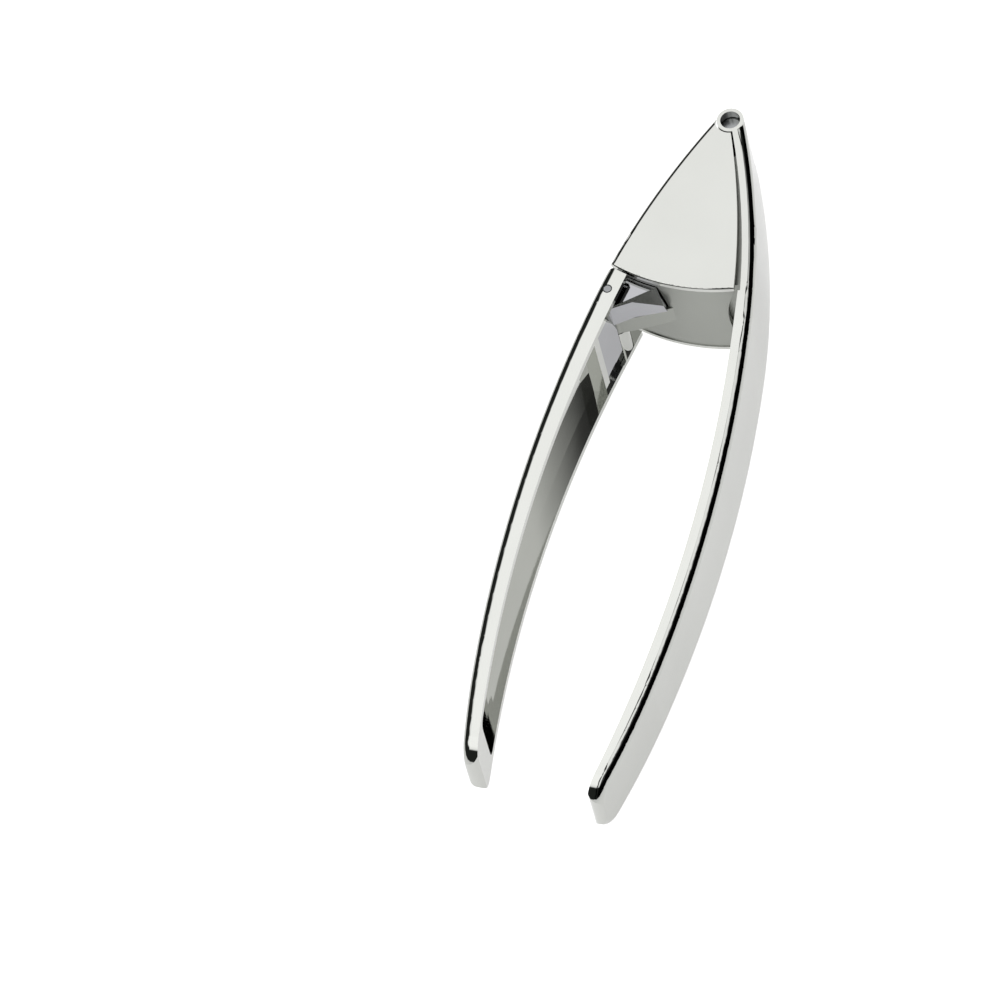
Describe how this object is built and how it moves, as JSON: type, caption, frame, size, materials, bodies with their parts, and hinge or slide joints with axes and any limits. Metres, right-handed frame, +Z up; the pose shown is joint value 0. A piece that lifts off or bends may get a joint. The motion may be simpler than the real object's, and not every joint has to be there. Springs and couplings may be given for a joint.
{
  "type": "garlic press",
  "caption": "Polished chrome garlic press: wedge-shaped hinged head with a sieve, a plunger on one handle and a second handle that swings out, lying closed on its side.",
  "frame": {"origin": "middle of the bounding box, on the surface that the press lies on", "axes": "+Y from the handle tips towards the main pivot, +X towards the handle that carries the plunger, +Z up through the thickness of the head"},
  "size_m": [0.0442, 0.1706, 0.025],
  "materials": {
    "cast_head": "zinc die casting, satin chrome plate left as cast",
    "polished_cheek": "mirror polished",
    "sieve_steel": "punched stainless sheet, lightly brushed",
    "polished_handle": "zinc die casting, mirror chrome plate",
    "cast_plunger": "zinc die casting, satin chrome plate left as cast",
    "screw_steel": "turned stainless steel",
    "pin_steel": "ground stainless steel",
    "washer_plastic": "moulded acetal, matte",
    "polished_heel": "mirror polished facets"
  },
  "bodies": {
    "head": {"head_frame": "cast_head", "front_cheek": "polished_cheek", "rear_cheek": "polished_cheek", "sieve_plate": "sieve_steel", "pivot_washers": "washer_plastic"},
    "right_arm": {"right_handle": "polished_handle", "plunger": "cast_plunger", "plunger_screws": "screw_steel", "main_pivot_pin": "pin_steel"},
    "left_arm": {"left_handle": "polished_handle", "hinge_heel": "polished_heel", "hinge_pin": "pin_steel"}
  },
  "joints": [
    {"name": "main_pivot", "type": "hinge", "parent": "head", "child": "right_arm", "pos_m": [0, 0.0825, 0.0125], "axis": [0, 0, 1], "range_deg": [-1.5, 110]},
    {"name": "left_handle_hinge", "type": "hinge", "parent": "head", "child": "left_arm", "pos_m": [-0.0152, 0.03571, 0.0125], "axis": [0, 0, -1], "range_deg": [0, 50]}
  ]
}
